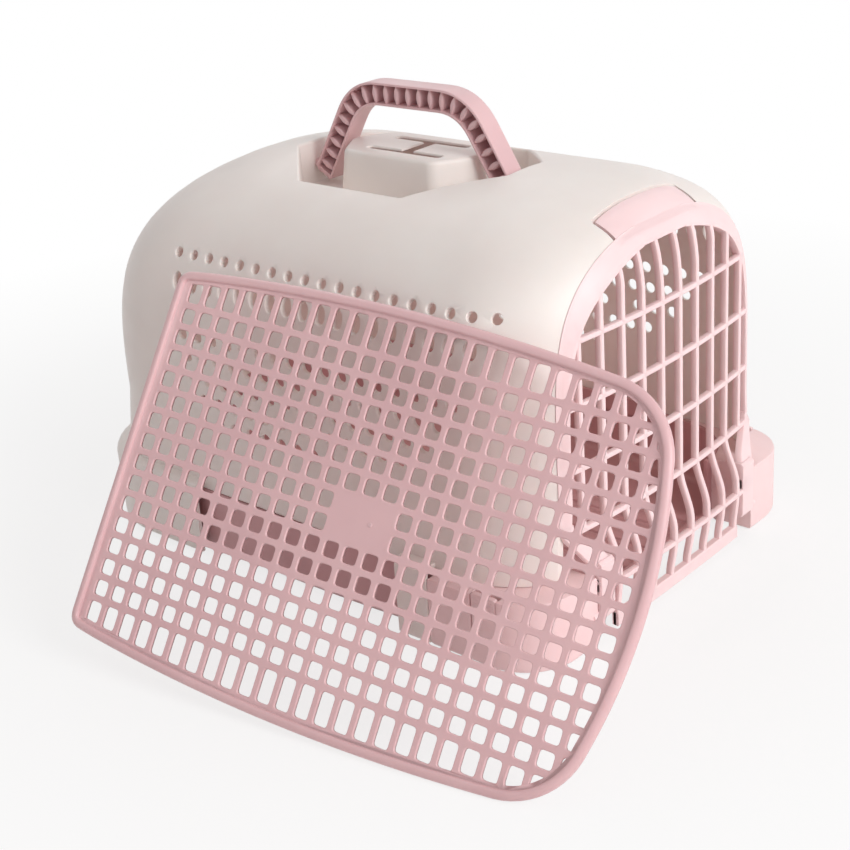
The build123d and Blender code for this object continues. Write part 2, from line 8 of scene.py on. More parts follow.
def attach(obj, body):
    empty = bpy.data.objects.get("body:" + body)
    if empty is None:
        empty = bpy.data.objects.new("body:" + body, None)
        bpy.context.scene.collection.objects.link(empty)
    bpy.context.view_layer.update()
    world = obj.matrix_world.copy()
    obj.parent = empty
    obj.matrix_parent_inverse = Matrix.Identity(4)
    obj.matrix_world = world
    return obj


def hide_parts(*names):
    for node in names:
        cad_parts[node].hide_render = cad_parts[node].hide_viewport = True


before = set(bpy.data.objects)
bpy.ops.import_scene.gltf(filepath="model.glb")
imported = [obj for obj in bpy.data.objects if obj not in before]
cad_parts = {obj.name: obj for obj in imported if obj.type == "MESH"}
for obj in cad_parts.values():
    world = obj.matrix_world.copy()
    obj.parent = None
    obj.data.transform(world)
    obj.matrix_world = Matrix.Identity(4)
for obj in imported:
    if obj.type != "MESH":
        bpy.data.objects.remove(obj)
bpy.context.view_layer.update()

# ---------------------------------------------------------------------------
# Studio. A large soft lamp stands high beyond the door, a weaker one behind on the left, and the
# pale room fills the rest. The carrier stands on white paper. The camera is the photograph's.
mm = 0.001
white = (1, 1, 1, 1)
table_half = 6
table_level = -0.0002


def placed(name, data):
    """A new object in the scene"""
    thing = bpy.data.objects.new(name, data)
    bpy.context.scene.collection.objects.link(thing)
    return thing


def rectangle(left, low, right, high):
    """Its four corners, anticlockwise"""
    return [Vector(p) for p in ((left, low), (right, low), (right, high), (left, high))]


def linear(code):
    """A colour written as sRGB hex, in linear light"""
    shares = [int(code[i:i + 2], 16) / 255 for i in (0, 2, 4)]
    return (*[s / 12.92 if s <= 0.04045 else ((s + 0.055) / 1.055) ** 2.4 for s in shares], 1)


def empty_tree(owner):
    """The node tree of a world or a material, with nothing in it"""
    owner.use_nodes = True
    owner.node_tree.nodes.clear()
    return owner.node_tree


def add_node(tree, kind, inputs, **settings):
    """One node with its settings, and its inputs set to values or linked to sockets"""
    node = tree.nodes.new(kind)
    for name, value in settings.items():
        setattr(node, name, value)
    for name, value in inputs.items():
        if isinstance(value, bpy.types.NodeSocket):
            tree.links.new(value, node.inputs[name])
        else:
            node.inputs[name].default_value = value
    return node


def seen_share(tree):
    """1 for what the camera sees, by itself, in a reflection or through a clear piece, else 0"""
    ray = add_node(tree, "ShaderNodeLightPath", {}).outputs
    reflected = add_node(tree, "ShaderNodeMath", {
        0: ray["Is Glossy Ray"], 1: ray["Is Transmission Ray"]}, operation="MAXIMUM")
    return add_node(tree, "ShaderNodeMath", {
        0: ray["Is Camera Ray"], 1: reflected.outputs[0]}, operation="MAXIMUM").outputs[0]


def lamp(name, place, target, width, power, tint=(1, 1, 1)):
    """A round soft lamp that lights the target and isn't seen itself"""
    data = bpy.data.lights.new(name, "AREA")
    data.shape = "DISK"
    data.size = width
    data.energy = power
    data.color = tint
    lamp_object = placed(name, data)
    lamp_object.visible_camera = False
    aim = (Vector(target) - Vector(place)).to_track_quat("-Z", "Y")
    lamp_object.matrix_world = Matrix.Translation(place) @ aim.to_matrix().to_4x4()


camera_data = bpy.data.cameras.new("camera")
camera_data.lens = 66.98
camera_data.sensor_width = 36
camera = placed("camera", camera_data)
camera_right = Vector((0.75273867, 0.65471706, -0.06877548))
camera_up = Vector((-0.21727715, 0.34569771, 0.91284376))
camera_axes = Matrix((camera_right, camera_up, camera_right.cross(camera_up))).transposed()
camera.matrix_world = Matrix.Translation((0.7793, -0.8367, 0.5705)) @ camera_axes.to_4x4()
bpy.context.scene.camera = camera
bpy.context.scene.view_settings.view_transform = "Standard"

lamp("key", (2.45, -0.2, 1.5), (0, 0, 0.15), 1.5, 43)
lamp("rear_left", (-1.8, 1.6, 2.2), (0, 0, 0.2), 1.8, 8.6)
# the thin hood lets some light through, which a small lamp under its roof stands for
lamp("through_the_wall", (-0.02, 0, 0.24), (0, 0, 0), 0.12, 0.11, (1, 0.86, 0.78))

world = bpy.data.worlds.new("pale_room")
bpy.context.scene.world = world
room = empty_tree(world)
room_light = add_node(room, "ShaderNodeBackground", {"Color": linear("fffaf9"), "Strength": 0.45})
backdrop = add_node(room, "ShaderNodeBackground", {"Color": white, "Strength": 1})
room_mix = add_node(room, "ShaderNodeMixShader", {
    0: seen_share(room), 1: room_light.outputs[0], 2: backdrop.outputs[0]})
add_node(room, "ShaderNodeOutputWorld", {"Surface": room_mix.outputs[0]})

# the paper keeps the carrier's shadow near it and turns to plain white further away
table_mesh = bpy.data.meshes.new("table")
table_corners = rectangle(-table_half, -table_half, table_half, table_half)
table_mesh.from_pydata([(*p, table_level) for p in table_corners], [], [(0, 1, 2, 3)])
table = placed("table", table_mesh)
paper = bpy.data.materials.new("white paper")
sheet = empty_tree(paper)
paper_place = add_node(sheet, "ShaderNodeTexCoord", {})
paper_reach = add_node(sheet, "ShaderNodeVectorMath", {0: paper_place.outputs["Object"]},
                       operation="LENGTH")
paper_fade = add_node(sheet, "ShaderNodeMapRange", {
    "Value": paper_reach.outputs["Value"], "From Min": 0.3, "From Max": 0.85,
    "To Min": 0.76, "To Max": 1})
paper_share = add_node(sheet, "ShaderNodeMath", {
    0: paper_fade.outputs[0], 1: seen_share(sheet)}, operation="MULTIPLY")
paper_face = add_node(sheet, "ShaderNodeBsdfDiffuse", {"Color": linear("f6f4f3")})
paper_white = add_node(sheet, "ShaderNodeEmission", {"Color": white, "Strength": 1})
paper_mix = add_node(sheet, "ShaderNodeMixShader", {
    0: paper_share.outputs[0], 1: paper_face.outputs[0], 2: paper_white.outputs[0]})
add_node(sheet, "ShaderNodeOutputMaterial", {"Surface": paper_mix.outputs[0]})
table_mesh.materials.append(paper)

# ---------------------------------------------------------------------------
# Hood. One injection moulding in cream polypropylene with a 3 mm wall: a loaf-shaped shell, open
# below and at the door, with rows of round and oval air holes in both sides and a well in the
# roof for the handle. It drops over the tray's lip and is held by the two side catches.
hood_edge = 53
hood_spring = 108
hood_top = 290
hood_half_width = 153
hood_side_draft = 4
hood_nose = 237
hood_tail = 222
hood_tail_draft = 6
hood_corner = 75
hood_wall = 3
hood_rim = 224
hood_levels = 46
crown_power = 4.7
nose_power = 8
nose_root = 0.1
tail_power = 2.5
tail_root = 0.25
crown_corner_share = 0.88
handle_middle = 16
well_floor = 256
well_half_length = 100.5
well_half_width = 71
well_corner = 52
island_taper = 7.5
island_corner = 11
notch_rear = 206
notch_floor = 258
notch_half_width = 48.5
hole_pitch = 16.2
skirt_front = 119
cut_side = 200
cut_top = 320


def crown(z):
    """How far a height is up the crown, from 0 at its spring to 1 at the roof"""
    return max(0, (z - hood_spring) / (hood_top - hood_spring))


def draft(z):
    """How far a height is up the drafted wall, from 0 at its edge to 1 at the spring"""
    return max(0, min(1, (z - hood_edge) / (hood_spring - hood_edge)))


def half_width(z):
    return (hood_half_width - hood_side_draft * draft(z)) * sqrt(1 - crown(z) ** crown_power)


def nose(z):
    return hood_nose * (1 - crown(z) ** nose_power) ** nose_root


def tail(z):
    return (hood_tail - hood_tail_draft * draft(z)) * (1 - crown(z) ** tail_power) ** tail_root


def bend(z):
    """The radius of the hood's upright corners at a height"""
    return min(hood_corner, crown_corner_share * half_width(z))


def rounded_plan(rear, front, half, corner, z):
    """A ring of points round a rectangle with rounded corners"""
    turn, end_run, long_run = 12, 18, 44
    corners = ((front - corner, corner - half, -90), (front - corner, half - corner, 0),
               (rear + corner, half - corner, 90), (rear + corner, corner - half, 180))
    ring = []
    for i, (x, y, start) in enumerate(corners):
        for k in range(turn + 1):
            angle = radians(start + 90 * k / turn)
            ring.append(Vector((x + corner * cos(angle), y + corner * sin(angle), z)))
        next_x, next_y, _ = corners[(i + 1) % 4]
        ahead = Vector((next_x + corner * cos(angle), next_y + corner * sin(angle), z))
        run = end_run if i % 2 == 0 else long_run
        ring += [ring[-1].lerp(ahead, k / run) for k in range(1, run)]
    return ring


def hood_ring(z, wall, reach=0):
    """A section of the hood, moved inwards and down by a wall, or outwards by a reach"""
    return rounded_plan(
        wall - reach - tail(z), nose(z) - wall + reach, half_width(z) - wall + reach,
        bend(z) - wall + reach, z - wall)


def side_reach(x, z):
    """How far the hood's side stands out at a place along it"""
    half, corner = half_width(z), bend(z)
    beyond = max(0, x - nose(z) + corner, -x - tail(z) + corner)
    return half - corner + sqrt(max(0, corner ** 2 - beyond ** 2))


def nose_reach(y, z):
    """How far the hood's front stands out at a place across it"""
    half, corner = half_width(z), bend(z)
    beyond = min(corner, max(0, abs(y) - half + corner))
    return nose(z) - corner + sqrt(corner ** 2 - beyond ** 2)


def roof(x, y):
    """The height of the hood's roof"""
    low, high = hood_spring, hood_top - 1e-6
    for _ in range(40):
        z = (low + high) / 2
        inside = (-tail(z) <= x <= nose(z) and side_reach(x, z) >= abs(y)
                  and half_width(z) >= abs(y))
        low, high = (z, high) if inside else (low, z)
    return low


def skin(name, rings, closed=False):
    """A piece from rings of points in millimetres: faces between them, and over both ends"""
    mesh = bmesh.new()
    rows = [[mesh.verts.new(Vector(point) * mm) for point in ring] for ring in rings]
    for low, high in zip(rows, rows[1:] + rows[:1] if closed else rows[1:]):
        for a, b, c, d in zip(low, low[1:] + low[:1], high[1:] + high[:1], high):
            mesh.faces.new((a, b, c, d))
    if not closed:
        mesh.faces.new(rows[0][::-1])
        mesh.faces.new(rows[-1])
    bmesh.ops.remove_doubles(mesh, verts=mesh.verts, dist=1e-6)
    bmesh.ops.recalc_face_normals(mesh, faces=mesh.faces)
    if mesh.calc_volume(signed=True) < 0:
        bmesh.ops.reverse_faces(mesh, faces=mesh.faces)
    data = bpy.data.meshes.new(name)
    mesh.to_mesh(data)
    mesh.free()
    return placed(name, data)


def bake(piece):
    """The piece's modifiers made part of its mesh"""
    bpy.context.view_layer.update()
    result = piece.evaluated_get(bpy.context.evaluated_depsgraph_get())
    data = bpy.data.meshes.new_from_object(result)
    piece.modifiers.clear()
    piece.data = data


def carve(piece, tool, operation="DIFFERENCE"):
    """The piece cut by a tool, which is used up"""
    cut = piece.modifiers.new("carve", "BOOLEAN")
    cut.operation = operation
    cut.solver = "EXACT"
    cut.object = tool
    bake(piece)
    bpy.data.objects.remove(tool)


def joined(name, pieces):
    """Several pieces of one moulding as one mesh"""
    mesh = bmesh.new()
    for piece in pieces:
        mesh.from_mesh(piece.data)
        bpy.data.objects.remove(piece)
    data = bpy.data.meshes.new(name)
    mesh.to_mesh(data)
    mesh.free()
    return placed(name, data)


def slab(name, low, high):
    """A square-edged block, used to cut with"""
    plan = rectangle(low[0], low[1], high[0], high[1])
    return skin(name, [[(*p, z) for p in plan] for z in (low[2], high[2])])


def arc(x, y, radius, start, turn, count):
    """Points on a circle about (x, y), from one angle over a turn, both ends included"""
    angles = [radians(start + turn * k / count) for k in range(count + 1)]
    return [Vector((x + radius * cos(a), y + radius * sin(a))) for a in angles]


def circle(x, y, radius, count):
    return arc(x, y, radius, 0, 360, count)[:-1]


def grown(plan, reach):
    """A closed outline moved outwards, its corners kept sharp"""
    moved = []
    for i, here in enumerate(plan):
        before = (here - plan[i - 1]).normalized()
        after = (plan[(i + 1) % len(plan)] - here).normalized()
        out = Vector((before.y, -before.x)) + Vector((after.y, -after.x))
        moved.append(here + out * (reach / (1 + before.dot(after))))
    return moved


def softened(plan, radius, steps):
    """A closed outline with its corners rounded"""
    soft = []
    for i, here in enumerate(plan):
        before = (here - plan[i - 1]).normalized()
        after = (plan[(i + 1) % len(plan)] - here).normalized()
        back = radius * tan(before.angle(after) / 2)
        for k in range(steps + 1):
            t = k / steps
            soft.append((here - before * back) * (1 - t) ** 2 + here * 2 * t * (1 - t)
                        + (here + after * back) * t ** 2)
    return soft


def divided(plan, step):
    """A closed outline with points added along its longer runs"""
    fine = []
    for here, ahead in zip(plan, plan[1:] + plan[:1]):
        count = max(1, round((ahead - here).length / step))
        fine += [here.lerp(ahead, k / count) for k in range(count)]
    return fine


def mirrored(half):
    """A whole outline from its points on one side of the middle line, near side first"""
    return [Vector(p) for p in half] + [Vector((x, -y)) for x, y in half[::-1]]


def moulded_pp(name, tone, shade, rough, grain, depth):
    """Injection-moulded polypropylene: an even body colour that drifts slightly with the flow of
    the melt, the fine spark-eroded grain of the mould, and a soft, waxy gloss"""
    finish = bpy.data.materials.new(name)
    tree = empty_tree(finish)
    place = add_node(tree, "ShaderNodeTexCoord", {}).outputs["Object"]
    flow = add_node(tree, "ShaderNodeTexNoise", {
        "Vector": place, "Scale": 11, "Detail": 4, "Roughness": 0.55})
    drift = add_node(tree, "ShaderNodeMapRange", {
        "Value": flow.outputs["Fac"], "From Min": 0.3, "From Max": 0.7, "To Min": 0, "To Max": 1})
    body = add_node(tree, "ShaderNodeMix", {
        0: drift.outputs[0], 6: linear(tone), 7: linear(shade)}, data_type="RGBA")
    # the mould's grain is about 0.3 mm; it is drawn at `grain` millimetres so that it shows
    erosion = add_node(tree, "ShaderNodeTexNoise", {
        "Vector": place, "Scale": 1000 / grain, "Detail": 2, "Roughness": 0.6})
    # handling leaves the gloss a little uneven over a few centimetres
    handling = add_node(tree, "ShaderNodeTexNoise", {
        "Vector": place, "Scale": 38, "Detail": 5, "Roughness": 0.65})
    gloss = add_node(tree, "ShaderNodeMapRange", {
        "Value": handling.outputs["Fac"], "From Min": 0.3, "From Max": 0.7,
        "To Min": rough - 0.06, "To Max": rough + 0.08})
    relief = add_node(tree, "ShaderNodeBump", {
        "Strength": depth, "Distance": 0.0003, "Height": erosion.outputs["Fac"]})
    surface = add_node(tree, "ShaderNodeBsdfPrincipled", {
        "Base Color": body.outputs[2], "Roughness": gloss.outputs[0], "IOR": 1.49,
        "Normal": relief.outputs[0], "Subsurface Weight": 0.12, "Subsurface Radius": (1, 0.7, 0.6),
        "Subsurface Scale": 0.003})
    add_node(tree, "ShaderNodeOutputMaterial", {"Surface": surface.outputs[0]})
    return finish


def dress(piece, finish, body, nodes, angle=32):
    """Shading, material, body and material slot of a finished piece"""
    piece.data.materials.clear()
    piece.data.materials.append(finish)
    piece.data.shade_smooth()
    piece.data.set_sharp_from_angle(angle=radians(angle))
    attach(piece, body)
    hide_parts(*nodes)


# rings stand closer together towards the top, where the wall turns over into the roof
hood_heights = [53.6, 60, 68, 76, 84, 92, 100]
hood_heights += [hood_spring + (hood_top - hood_spring) * (1 - (1 - k / hood_levels) ** 2)
                 for k in range(hood_levels)]
hood_heights.append(hood_top - 0.05)
hood = skin("hood", [hood_ring(hood_edge, 0, -0.6)] + [hood_ring(z, 0) for z in hood_heights])
cavity = skin("cavity", [hood_ring(z, hood_wall) for z in [hood_edge] + hood_heights[1:]])


def well_plan(reach):
    """The well's outline, an octagon with long ends"""
    length, half, cut = well_half_length, well_half_width, well_corner
    plan = mirrored([(-length, cut - half), (cut - length, -half), (length - cut, -half),
                     (length, cut - half)])
    fine = divided(softened(grown(plan, reach), 5, 4), 7)
    return [p + Vector((handle_middle, 0)) for p in fine]


# the well keeps a wall and a floor of its own, and its rim is rounded over into the roof
well_outline = well_plan(0)
carve(cavity, skin("well_room", [[(*p, z) for p in well_plan(hood_wall)]
                                 for z in (well_floor - hood_wall, hood_top + 20)]))
carve(hood, cavity)
well_rings = [[(*p, z) for p in grown(well_outline, reach)]
              for reach, z in ((-2.2, 256), (-1.4, 256.2), (-0.6, 256.9), (-0.1, 258), (0, 259.5))]
for reach, drop in ((0, 2.2), (0.12, 1.5), (0.5, 0.75), (1.1, 0.25), (1.9, 0.02), (2, -9)):
    well_rings.append([(*p, roof(*p) - drop) for p in grown(well_outline, reach)])
well_rings.append([(*p, hood_top + 20) for p in grown(well_outline, 2)])
carve(hood, skin("well", well_rings))

# island in the well, hollow from below, with an H-shaped vent in its top
island_plan = [Vector(p) for p in ((-68, 0), (-45, -36), (45, -36), (68, 0), (45, 36), (-45, 36))]


def island_ring(reach, z):
    """A section of the island, which tapers upwards"""
    taper = (z - well_floor + hood_wall) * tan(radians(island_taper))
    plan = softened(grown(island_plan, reach - taper), island_corner, 6)
    return [(p.x + handle_middle, p.y, z) for p in plan]


carve(hood, skin("island_room", [island_ring(-hood_wall, z) for z in (245, 265)]))
island = skin("island", [island_ring(reach, z) for reach, z in (
    (-3, 292.4), (-3, 254), (0, 254), (0, 258), (0, 288), (0, 291), (-0.2, 292.3), (-0.8, 293.4),
    (-1.7, 293.9), (-2.6, 294))])
vent_half = [(5.5, -12.25), (32, -12.25), (34, -12.9), (35, -14.2), (35, -16.8), (34, -18.1),
             (32, -18.75), (-32, -18.75), (-34, -18.1), (-35, -16.8), (-35, -14.2), (-34, -12.9),
             (-32, -12.25), (-5.5, -12.25)]
vent_plan = [Vector(p) for p in vent_half] + [Vector((-x, -y)) for x, y in vent_half]
vent_plan = [p + Vector((handle_middle + 4, 0)) for p in vent_plan][::-1]
carve(island, skin("vent", [[(*p, z) for p in grown(vent_plan, reach)] for reach, z in (
    (0, 288), (0, 292.9), (0.25, 293.5), (0.9, 294.05), (1, 300))]))

# open front, and the notch in the roof's front edge that the door's tab lies in
carve(hood, slab("doorway", (hood_rim, -cut_side, 0), (300, cut_side, cut_top)))
notch_plan = softened(rectangle(notch_rear, -notch_half_width, 260, notch_half_width), 2, 4)
carve(hood, skin("notch", [[(*p, z) for p in notch_plan] for z in (notch_floor, cut_top)]))

# air holes: small round ones on top, tall ovals under them, then round ones that follow a curve.
# Each row has its height, the place of its first hole, its count, and the holes' width and height
hole_rows = [(234, -100, 19, 7.8, 7.8), (214.5, -97, 18, 9.6, 14.5)]
hole_rows += [(z, first, count, 9.4, 9.4) for z, first, count in (
    (176, -93, 17), (159.2, -90, 16), (142.5, -86, 15), (125.7, -77, 13), (109, -46, 8))]
hole_places, hole_sizes, hole_turns = [], [], []
for z, first, count, wide, tall in hole_rows:
    for k in range(count):
        x = first + hole_pitch * k
        along = side_reach(x + 0.5, z) - side_reach(x - 0.5, z)
        rise = side_reach(x, z + 0.5) - side_reach(x, z - 0.5)
        for side in (-1, 1):
            facing = Vector((-along, side, -rise)).normalized()
            upward = facing.cross(Vector((1, 0, 0))).normalized() * -side
            axes = Matrix((upward.cross(facing), upward, facing)).transposed()
            hole_places.append((x, side * side_reach(x, z), z))
            hole_sizes.append((wide / 2, tall / 2, 1))
            hole_turns.append(axes.to_euler())


def repeated(name, pattern, places, sizes=None, turns=None, finish=None):
    """Geometry Nodes: one copy of the pattern at each place, with its own size and turn"""
    points = bpy.data.meshes.new(name)
    points.from_pydata([Vector(p) * mm for p in places], [], [])
    for label, values in (("size", sizes or [(1, 1, 1)] * len(places)),
                          ("turn", turns or [(0, 0, 0)] * len(places))):
        layer = points.attributes.new(label, "FLOAT_VECTOR", "POINT")
        layer.data.foreach_set("vector", [c for value in values for c in value])
    tree = bpy.data.node_groups.new(name, "GeometryNodeTree")
    for label, kind in (("Points", "Geometry"), ("Pattern", "Object"), ("Size", "Float"),
                        ("Finish", "Material")):
        tree.interface.new_socket(label, in_out="INPUT", socket_type="NodeSocket" + kind)
    tree.interface.new_socket("Pieces", in_out="OUTPUT", socket_type="NodeSocketGeometry")
    given = add_node(tree, "NodeGroupInput", {}).outputs
    shape = add_node(tree, "GeometryNodeObjectInfo", {
        "Object": given["Pattern"], "As Instance": True})
    size = add_node(tree, "GeometryNodeInputNamedAttribute", {"Name": "size"},
                    data_type="FLOAT_VECTOR")
    turn = add_node(tree, "GeometryNodeInputNamedAttribute", {"Name": "turn"},
                    data_type="FLOAT_VECTOR")
    scale = add_node(tree, "ShaderNodeVectorMath", {0: size.outputs[0], "Scale": given["Size"]},
                     operation="SCALE")
    facing = add_node(tree, "FunctionNodeEulerToRotation", {0: turn.outputs[0]})
    copies = add_node(tree, "GeometryNodeInstanceOnPoints", {
        "Points": given["Points"], "Instance": shape.outputs["Geometry"],
        "Rotation": facing.outputs[0], "Scale": scale.outputs[0]})
    real = add_node(tree, "GeometryNodeRealizeInstances", {"Geometry": copies.outputs[0]})
    covered = add_node(tree, "GeometryNodeSetMaterial", {
        "Geometry": real.outputs[0], "Material": given["Finish"]})
    add_node(tree, "NodeGroupOutput", {"Pieces": covered.outputs[0]})
    piece = placed(name, points)
    copier = piece.modifiers.new("copies", "NODES")
    copier.node_group = tree
    sockets = {s.name: s.identifier for s in tree.interface.items_tree if s.in_out == "INPUT"}
    copier[sockets["Pattern"]] = pattern
    copier[sockets["Size"]] = 1.0
    copier[sockets["Finish"]] = finish
    bake(piece)
    bpy.data.objects.remove(pattern)
    return piece


# the drill is a round bar with a flare, which leaves each hole a rounded mouth outside
drill = skin("drill", [[(*p, z) for p in circle(0, 0, radius, 24)] for radius, z in (
    (0.94, -7), (0.94, -1.3), (0.98, -0.6), (1.06, -0.15), (1.18, 0.1), (1.24, 4))])
carve(hood, repeated("hood_holes", drill, hole_places, hole_sizes, hole_turns))

# skirts: a hollow step at the hood's corners, which reaches down outside the tray
skirt_profile = [(-1, 57), (8, 57), (8, 3.5), (8.5, 3), (10.5, 3), (11, 3.5), (11, 53.5),
                 (10.6, 56), (9.4, 58.2), (7.4, 59.6), (5, 60.2), (-1, 60.2)]
skirts = skin("skirts", [
    rounded_plan(-hood_tail - r, hood_nose + r, hood_half_width + r, hood_corner + r, z)
    for r, z in skirt_profile], closed=True)
skirt_zones = [slab("skirt_zone", (left, low, 0), (right, high, 80))
               for left, low, right, high in (
                   (-260, -cut_side, -85, -60), (-260, 60, -85, cut_side),
                   (skirt_front, -cut_side, 146.7, -100), (skirt_front, 100, 146.7, cut_side))]
carve(skirts, joined("skirt_zones", skirt_zones), "INTERSECT")

cream_pp = moulded_pp("moulded PP, cream", "f8f1ec", "f2e9e4", 0.42, 1.6, 0.10)
hood = joined("hood_moulding", [hood, island, skirts])
dress(hood, cream_pp, "hood", ["top_shell"])

# ---------------------------------------------------------------------------
# Base tray. One moulding in pink polypropylene, its pink darkened as painted shade: a shallow bowl
# with a rounded foot, ribs along its floor and a lip at its rear that the hood drops over. The
# doorway's sill is low.
tray_half_end = 149
tray_half_middle = 156
tray_front = 206
tray_corner = 57
tray_foot = 9
tray_wall = 3
tray_sill = 9
rib_step = 17
rib_count = 11
rib_half_width = 6
rib_height = 3
rib_level = 2.99


def tray_plan(reach, half=tray_half_end, middle=tray_half_middle, front=tray_front,
              corner=tray_corner):
    """The tray's outline: rounded rear corners, slightly bowed sides, tighter front corners"""
    low, high, steps = hood_corner - hood_tail, front - corner, 24
    rear_arc = arc(low, hood_corner - half, hood_corner, 180, 90, 12)
    side = [(low + (high - low) * k / steps,
             -half - (middle - half) * (1 - ((2 * k - steps) / steps) ** 2))
            for k in range(1, steps)]
    front_arc = arc(high, corner - half, corner, 270, 90, 12)
    return grown(mirrored(rear_arc + side + front_arc), reach)


def hood_plan(reach):
    """The outline of the hood's edge, with as many points as the tray's"""
    return tray_plan(reach, hood_half_width, hood_half_width, hood_nose, hood_corner)


quarter = [radians(15 * k) for k in range(7)]
foot = [(tray_foot * sin(a) - tray_foot, tray_foot - tray_foot * cos(a)) for a in quarter]
inner_radius = tray_foot - tray_wall
inner_foot = [(-tray_wall - inner_radius * (1 - cos(a)), tray_foot - inner_radius * sin(a))
              for a in quarter]
tray_edge = [(0, 52), (-0.3, 52.5), (-0.9, 52.7), (-2.4, 52.7), (-3, 52.1)]
tray = skin("tray", [[(*p, z) for p in tray_plan(r)] for r, z in foot + tray_edge + inner_foot])
carve(tray, slab("sill", (196, -92, tray_sill), (220, 92, 80)))
lip = skin("lip", [[(*p, z) for p in plan(r)] for plan, r, z in (
    (tray_plan, -2, 46.2), (tray_plan, -2, 52.6), (hood_plan, -4.3, 52.6), (hood_plan, -4.3, 59.2),
    (hood_plan, -4.8, 59.7), (hood_plan, -6.3, 59.7), (hood_plan, -6.8, 59.2),
    (hood_plan, -6.8, 46.2))], closed=True)
carve(lip, slab("front_half", (skirt_front, -cut_side, 0), (260, cut_side, 90)))

# the tray's darker pink is painted shade: it stands for the shadow that the tray's side lies in
# behind the mat
painted_shade_tray_pp = moulded_pp("moulded PP, pink darkened as painted shade", "d3a3a5", "c9989b", 0.4, 1.6, 0.10)
half_turn = [radians(30 * k) for k in range(7)]
rib = skin("rib", [[(x, rib_half_width * cos(a), rib_height * max(0, sin(a))) for a in half_turn]
                   for x in (-150, 202)])
rib_places = [(0, rib_step * (k - rib_count // 2), rib_level) for k in range(rib_count)]
ribs = repeated("tray_ribs", rib, rib_places, finish=painted_shade_tray_pp)
tray = joined("tray_moulding", [tray, lip, ribs])
dress(tray, painted_shade_tray_pp, "base", ["base_tray"])

# ---------------------------------------------------------------------------
# Corner blocks. Two mouldings in the door's pale pink, pressed over the tray's front corners. They
# carry the door's pins on their inner faces and the side catches in a window in their outer faces.
block_rear = 147.3
block_front = 240
block_half_width = 163
block_corner = 42
block_inner = 98.5
catch_rear = 184.2
catch_front = 204.8
catch_middle = 194.5

block_plan = arc(block_front - block_corner, block_corner - block_half_width, block_corner,
                 270, 90, 12)
block_plan += [Vector((block_front, -block_inner)), Vector((205.6, -block_inner))]
block_plan += arc(tray_front - tray_corner, tray_corner - tray_half_end, tray_corner,
                  0, -90, 12)[1:-1]
block_plan += [Vector((block_rear, -tray_half_end)), Vector((block_rear, -block_half_width))]
window_plan = softened(rectangle(183.5, 17.5, 205.5, 60), 1.2, 3)
tongue_plan = softened(rectangle(catch_rear, 18.4, catch_front, 53.8), 2.2, 4)


def to_far_side(piece):
    """The piece mirrored from the near side to the far one"""
    piece.data.transform(Matrix.Scale(-1, 4, (0, 1, 0)))
    piece.data.flip_normals()


block_pp = moulded_pp("moulded PP, pale pink of the blocks", "fbdfdf", "f6d4d5", 0.4, 1.6, 0.09)
for label in ("near", "far"):
    block = skin("corner_block_moulding_" + label, [[(*p, z) for p in grown(block_plan, r)]
                                                    for r, z in (
        (-5, 0), (-3.1, 0.4), (-1.5, 1.5), (-0.4, 3.1), (0, 5), (0, 51.2), (-0.45, 52.3),
        (-1.5, 52.7))])
    carve(block, skin("window", [[(p.x, y, p.y) for p in window_plan] for y in (-180, -155)]))

    # catch: a tongue that tips outwards about its foot, with finger ribs near its top
    tongue = skin("tongue", [[(p.x, y, p.y) for p in grown(tongue_plan, r)] for r, y in (
        (0, -158.9), (0, -161.6), (-0.3, -162.1), (-0.9, -162.3))])
    grips = [skin("grip", [[(catch_middle + end, -162.2 - out, z + up) for up, out in (
        (-1, -0.6), (-0.6, 0.3), (0, 0.6), (0.6, 0.3), (1, -0.6))] for end in (-8, 8)])
        for z in (43, 46.5, 50)]
    barrel = skin("barrel", [[(x, *p) for p in circle(-158.3, 21, 3, 18)]
                             for x in (catch_rear, catch_front)])
    hook = skin("hook", [[(x, y, z) for y, z in (
        (-160, 46.5), (-149.2, 46.5), (-149.2, 48), (-160, 52.5))] for x in (187.5, 196.5)])
    catch = joined("side_catch_moulding_" + label, [tongue, barrel, hook] + grips)

    if label == "far":
        to_far_side(block)
        to_far_side(catch)
    dress(block, block_pp, "base", ["corner_block_" + label])
    dress(catch, block_pp, "catch_" + label, ["side_catch_" + label])

# ---------------------------------------------------------------------------
# Door. One moulding in the lightest pink: a domed lattice of bars and rails in an arch, flush with
# the hood's curve, stepping forward below into a fork with two ears that turn on pins.
door_back = 224.3
door_reach = 116.7
door_top = 271
door_band = 9.5
door_crown_band = 15
door_thick = 5.2
door_bar = 4.2
door_bar_step = 21.4
door_bar_count = 10
door_rail = 4
door_rail_thick = 5
door_rail_levels = (216, 172.2, 128.4, 84.6)
low_rail_level = 41
fork_top = 88
door_axis_x = 238.25
door_axis_z = 23
ear_half = 4.75
tab_half_width = 46

# the face's shallow arcs, as the places of their edges and their middle
lattice_arc = (228, 236.5)
low_arc = (240.5, 246)
sill_arc = (240, 242.5)


def bow(y, edge, middle):
    """A shallow arc across the door, through its edges and its middle"""
    rise = middle - edge
    radius = (door_reach ** 2 + rise ** 2) / (2 * rise)
    return edge + sqrt(radius ** 2 - y ** 2) - sqrt(radius ** 2 - door_reach ** 2)


def eased(a, b, t):
    """From a to b with a gentle start and end, as t goes from 0 to 1"""
    t = max(0, min(1, t))
    return a + (b - a) * t * t * (3 - 2 * t)


def door_face(y, z):
    """The front of the door, which steps forward below the lattice"""
    upper = bow(y, *lattice_arc)
    if z >= fork_top:
        return min(upper, nose_reach(y, min(z, hood_top - 1)))
    below = (low_rail_level - z) / 26
    lower = bow(y, *[eased(low, sill, below) for low, sill in zip(low_arc, sill_arc)])
    return eased(upper, lower, (fork_top - z) / 38)


def door_rear(y, z, thick=door_thick):
    return max(door_back + 0.1, door_face(y, z) - thick)


